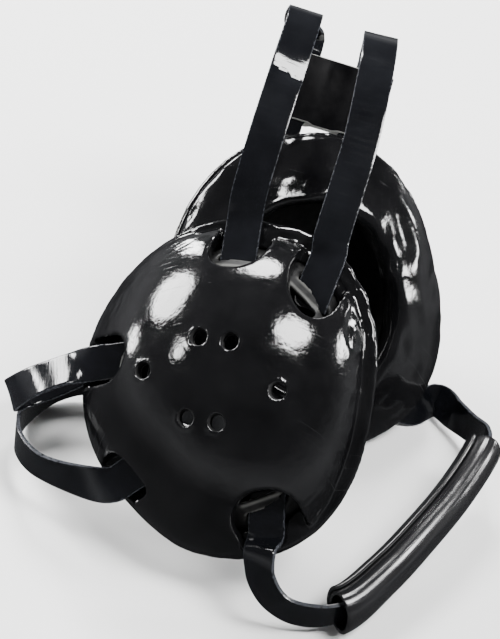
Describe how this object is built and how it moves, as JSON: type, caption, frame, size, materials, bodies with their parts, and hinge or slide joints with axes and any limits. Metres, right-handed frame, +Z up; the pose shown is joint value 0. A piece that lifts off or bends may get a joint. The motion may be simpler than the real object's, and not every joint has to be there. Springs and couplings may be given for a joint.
{
  "type": "wrestling headgear",
  "caption": "Folded wrestling headgear: padded domed ear cups with vents, joined by flat vinyl straps over the crown, round the back and under the chin, where a rolled tube is the chin rest.",
  "frame": {"origin": "on the table under the middle of the folded pair's box", "axes": "+Z up from the table, +X to the right and +Y away for someone who looks down on the outside of the right cup"},
  "size_m": [0.1846, 0.2, 0.1315],
  "materials": {
    "cover_vinyl": "high-gloss black vinyl leathercloth over foam",
    "pad_vinyl": "glossy black vinyl leathercloth over foam",
    "shell_plastic": "dark grey satin hard shell",
    "strap_vinyl": "smooth glossy black flat strap",
    "tube_vinyl": "semi-gloss black rolled sheet",
    "keeper_plastic": "black sleeve with paler cut edges"
  },
  "bodies": {
    "root": {"right_cover": "cover_vinyl", "left_cover": "cover_vinyl", "right_pad": "pad_vinyl", "left_pad": "pad_vinyl", "right_shell": "shell_plastic", "left_shell": "shell_plastic", "top_strap_front": "strap_vinyl", "top_strap_rear": "strap_vinyl", "back_strap_upper": "strap_vinyl", "back_strap_lower": "strap_vinyl", "chin_strap": "strap_vinyl", "chin_tube": "tube_vinyl", "strap_keeper": "keeper_plastic"}
  },
  "joints": []
}
